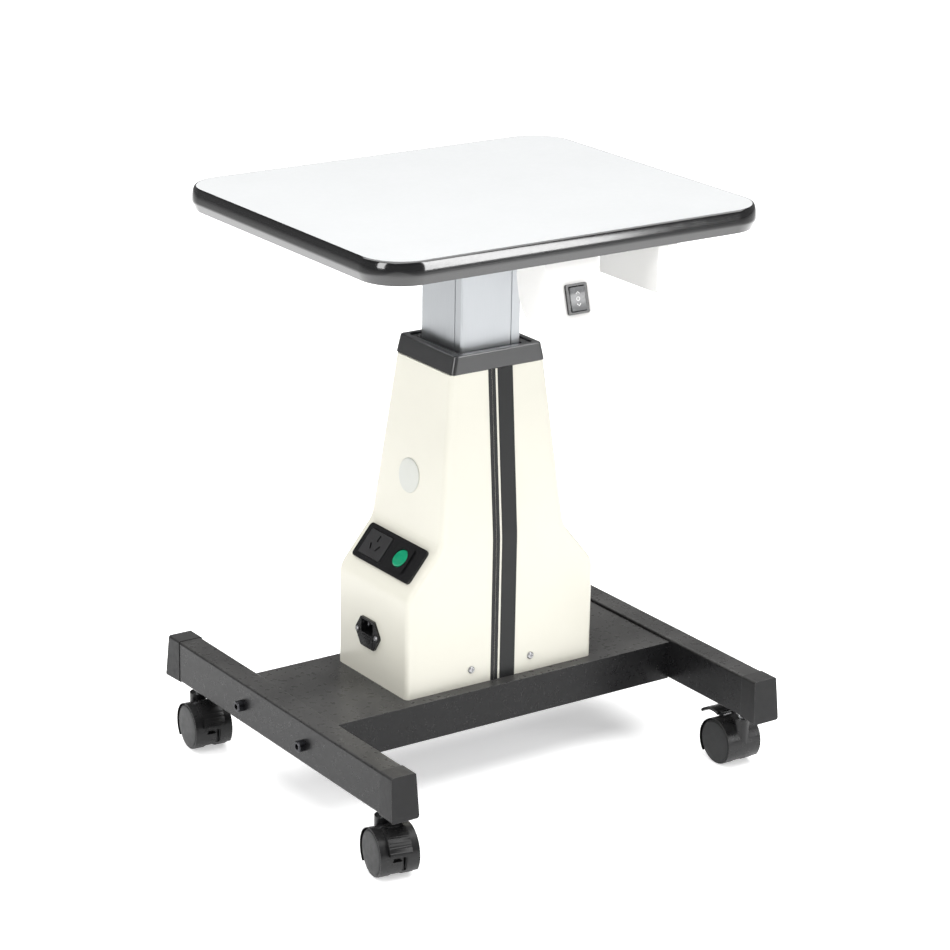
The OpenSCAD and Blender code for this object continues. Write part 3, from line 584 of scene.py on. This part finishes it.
def plug():
    """Push-in plug: a stem through the wall and a low crowned head with a soft edge."""
    r, stem, stem_end, back, steps = 20 * MM, 15.5 * MM, -5 * MM, 3 * MM, 64
    # (radius, height above the face), from the head's edge up over its crown
    crown = [(r - 0.3 * MM, 0), (r, 0.4 * MM), (r - 0.1 * MM, 0.9 * MM), (r - 0.8 * MM, 1.5 * MM),
             (r - 2.2 * MM, 1.8 * MM), (r / 2, 1.95 * MM), (CENTRE_HOLE, 2.0 * MM)]
    bm = bmesh.new()
    revolve(bm, [(CENTRE_HOLE, stem_end), (stem, stem_end), (stem, 0)] + crown,
            PLUG_FACE @ Matrix.Translation((0, back, 0)), steps)
    finish_piece(new_object("hole_plug_look", bm), "hole_plug")


# ---------- casters ----------

def wheel(node, joint, outward):
    """Twin caster wheel: round tread, a fine ring and a plain closed disc over the axle's end."""
    tread, bore, disc = 27 * MM, 2.56 * MM, 0.7 * MM
    inner, outer = 6.5 * MM, 22.7 * MM
    steps = 96
    place = axes(JOINTS[joint]["pos_m"], (0, 0, 1), Vector(JOINTS[joint]["axis"]) * outward)
    # From the bore along the inner side, across the tread, over the fine ring, and in to the disc's centre
    profile = [(bore, inner), (tread - 1.2 * MM, inner), (tread - 0.3 * MM, inner + 0.5 * MM),
               (tread, inner + 1.5 * MM), (tread, (inner + outer) / 2)]
    profile += [(tread - down * MM, outer - back * MM) for down, back in (
        (0, 3.2), (0.35, 2.1), (1.2, 1.2), (1.9, 1.0), (2.3, 1.3), (2.7, 0.8), (3.4, 0.3), (9, 0.05), (17, 0))]
    profile += [(CENTRE_HOLE, outer), (CENTRE_HOLE, outer - disc), (bore, outer - disc)]
    bm = bmesh.new()
    revolve(bm, profile, place, steps)
    finish_piece(new_object(node + "_look", bm, 50), node)


# ---------- lift switch ----------

def rocker_marks():
    """Raised up arrow, ring and down arrow on the hollow face of the lift rocker."""
    tilt = math.radians(15.5)
    place = axes(JOINTS["lift_rocker_tilt"]["pos_m"], (1, 0, 0), (0, -math.cos(tilt), math.sin(tilt)))
    hollow_centre, hollow_r = 43 * MM, 40 * MM
    sunk, raised = -0.2 * MM, 0.12 * MM
    ring_r, ring_steps, ring_half, arrow_half = 2.0 * MM, 20, 0.35 * MM, 0.4 * MM
    arrow_w, arrow_foot, arrow_tip = 2.4 * MM, 5.2 * MM, 7.6 * MM

    def lift(x, y, out):
        """A point over the hollow face, which is part of a cylinder round an axis along x."""
        return place @ Vector((x, y, hollow_centre - math.sqrt(hollow_r ** 2 - y ** 2) + out))

    def ribbon(bm, points, half, closed):
        """A flat band that follows the given points, as a closed thin solid."""
        count = len(points)
        rings = []
        for i, (x, y) in enumerate(points):
            ax, ay = points[(i - 1) % count] if closed or i > 0 else (x, y)
            bx, by = points[(i + 1) % count] if closed or i < count - 1 else (x, y)
            t = Vector((bx - ax, by - ay)).normalized()
            nx, ny = -t.y * half, t.x * half
            rings.append([lift(x + nx, y + ny, sunk), lift(x - nx, y - ny, sunk),
                          lift(x - nx, y - ny, raised), lift(x + nx, y + ny, raised)])
        loft(bm, rings, closed=closed, caps=not closed)

    bm = bmesh.new()
    ribbon(bm, [(ring_r * math.cos(a), ring_r * math.sin(a))
                for a in (2 * math.pi * i / ring_steps for i in range(ring_steps))], ring_half, True)
    for s in (-1, 1):
        ribbon(bm, [(-arrow_w, s * arrow_foot), (0, s * arrow_tip), (arrow_w, s * arrow_foot)], arrow_half, False)
    obj = new_object("lift_rocker_marks", bm)
    paint(obj, "mark_white")
    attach(obj, BODY["lift_rocker"])


# ---------- build ----------

table_board()
table_band()
column()
collar()
cover()
stripes()
plug()
rocker_marks()
for corner in CORNERS:
    wheel("outer_wheel_" + corner, "outer_wheel_spin_" + corner, -1)
    wheel("inner_wheel_" + corner, "inner_wheel_spin_" + corner, 1)
    refined("hood_" + corner, 0.5 * MM, 3, angle=40)
    refined("brake_" + corner, 0.4 * MM)
# (rounding, segments, nodes)
for width, segments, nodes in (
        (0.8 * MM, 3, ("base_plate", "leg_left", "leg_right")),
        (0.9 * MM, 3, ("leg_end_caps",)),
        (0.25 * MM, 2, ("leg_bolts", "cover_screws", "table_screws", "caster_stems", "frame_nuts", "column_bolts")),
        (0.4 * MM, 3, ("mains_outlet", "socket_panel", "power_bezel", "power_rocker", "inlet_body", "fuse_drawer",
                       "inlet_pins", "lift_bezel", "lift_rocker")),
        (0.35 * MM, 2, ("switch_bracket", "side_bracket", "top_plate"))):
    for node in nodes:
        refined(node, width, segments)
paint(bpy.data.objects["mains_outlet_look"], "outlet_plastic")
# The CAD nodes that still show keep their own meshes
shown = {o.get("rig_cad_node") for o in bpy.data.objects if o.type == "MESH" and not o.hide_render}
for node, obj in frame["nodes"].items():
    if node in shown:
        paint(obj, SLOTS[node])


# ---------- camera, floor and light ----------

# The camera that was fitted to the photograph's straight edges; sensor and lens are in mm
SENSOR_WIDTH, LENS, CLIP_END = 36, 117.86, 30
CAMERA_PLACE = (-1.90542, -2.74878, 1.48482)
CAMERA_RIGHT = Vector((0.824464, -0.565657, 0.017066))
CAMERA_DOWN = Vector((-0.169565, -0.275693, -0.946172))
CAMERA_AHEAD = Vector((0.539914, 0.777191, -0.323214))
# The floor's pale strip runs along the view: the direction across it, and where its sides fade out
FLOOR_HALF, FLOOR_CELLS = 14, 8
STRIP_ACROSS, STRIP_FADE = (-0.821, 0.571, 0), (1.45, 2.7)
SIDE_GREY, PALE_LOW, PALE_HIGH = rgb(0.45, 0.45, 0.45), rgb(0.91, 0.91, 0.91), rgb(0.93, 0.93, 0.93)
GLOW_LOW, GLOW_HIGH = rgb(0.97, 0.97, 0.97), rgb(1, 1, 1)
# The room's light falls from the first strength to the second over this span of a direction's height
SKY_SPAN, SKY_LOW, SKY_HIGH = (0.25, 0.62), 0.22, 0.08
AIM = (0, 0, 0.6)
# (name, place, aim, size in metres, watts)
LIGHTS = (
    ("ceiling", (0.9, 0.9, 5.5), (0.9, 0.9, 0), (9.5, 9.5), 850),
    ("front_right", (1.82, -3.0, 1.75), AIM, (0.52, 2.9), 52),
    ("left", (-3.0, -0.8, 1.9), AIM, (1.0, 2.2), 50),
)


def camera():
    data = bpy.data.cameras.new("camera")
    data.sensor_width = SENSOR_WIDTH
    data.lens = LENS
    data.clip_end = CLIP_END
    obj = bpy.data.objects.new("camera", data)
    m = Matrix((CAMERA_RIGHT, -CAMERA_DOWN, -CAMERA_AHEAD)).transposed().to_4x4()
    m.translation = CAMERA_PLACE
    obj.matrix_world = m
    bpy.context.scene.collection.objects.link(obj)
    bpy.context.scene.camera = obj


def area_light(name, place, aim, size, power):
    data = bpy.data.lights.new(name, "AREA")
    data.shape = "RECTANGLE"
    data.size, data.size_y = size
    data.energy = power
    obj = bpy.data.objects.new(name, data)
    obj.location = place
    obj.rotation_euler = (Vector(aim) - Vector(place)).to_track_quat("-Z", "Y").to_euler()
    bpy.context.scene.collection.objects.link(obj)


def floor():
    """A pale lit strip of studio floor, wider than the view, between greyer sides."""
    bm = bmesh.new()
    along = [FLOOR_HALF * (2 * i / FLOOR_CELLS - 1) for i in range(FLOOR_CELLS + 1)]
    rows = [[bm.verts.new((x, y, 0)) for x in along] for y in along]
    for low, high in zip(rows, rows[1:]):
        for i in range(FLOOR_CELLS):
            bm.faces.new((low[i], low[i + 1], high[i + 1], high[i]))
    obj = new_object("floor", bm)
    n = Nodes("studio_floor")
    cloud = n.noise(CLOUDS, detail=2.0)
    strip = n.remap(n.math("ABSOLUTE", n.dot(n.place, STRIP_ACROSS)), STRIP_FADE, 1.0, 0.0)
    n.surface(Base_Color=n.mix(strip, SIDE_GREY, n.mix(cloud, PALE_LOW, PALE_HIGH)),
              Roughness=n.remap(cloud, SOFT, 0.5, 0.6), Specular_IOR_Level=0.15,
              Emission_Color=n.mix(cloud, GLOW_HIGH, GLOW_LOW), Emission_Strength=n.remap(strip, (0.0, 1.0), 0.1, 0.5))
    paint(obj, "studio_floor")


def world():
    """A room that is pale near the horizon and dim overhead."""
    w = bpy.data.worlds.new("studio")
    w.use_nodes = True
    tree = w.node_tree
    background = tree.nodes["Background"]
    place = tree.nodes.new("ShaderNodeTexCoord")
    split = tree.nodes.new("ShaderNodeSeparateXYZ")
    ramp = tree.nodes.new("ShaderNodeMapRange")
    ramp.interpolation_type = "SMOOTHSTEP"
    for name, number in zip(("From Min", "From Max", "To Min", "To Max"), (*SKY_SPAN, SKY_LOW, SKY_HIGH)):
        ramp.inputs[name].default_value = number
    tree.links.new(place.outputs["Generated"], split.inputs[0])
    tree.links.new(split.outputs["Z"], ramp.inputs["Value"])
    tree.links.new(ramp.outputs["Result"], background.inputs["Strength"])
    background.inputs["Color"].default_value = (1, 1, 1, 1)
    bpy.context.scene.world = w
    bpy.context.scene.view_settings.view_transform = "Standard"


camera()
floor()
world()
for light in LIGHTS:
    area_light(*light)
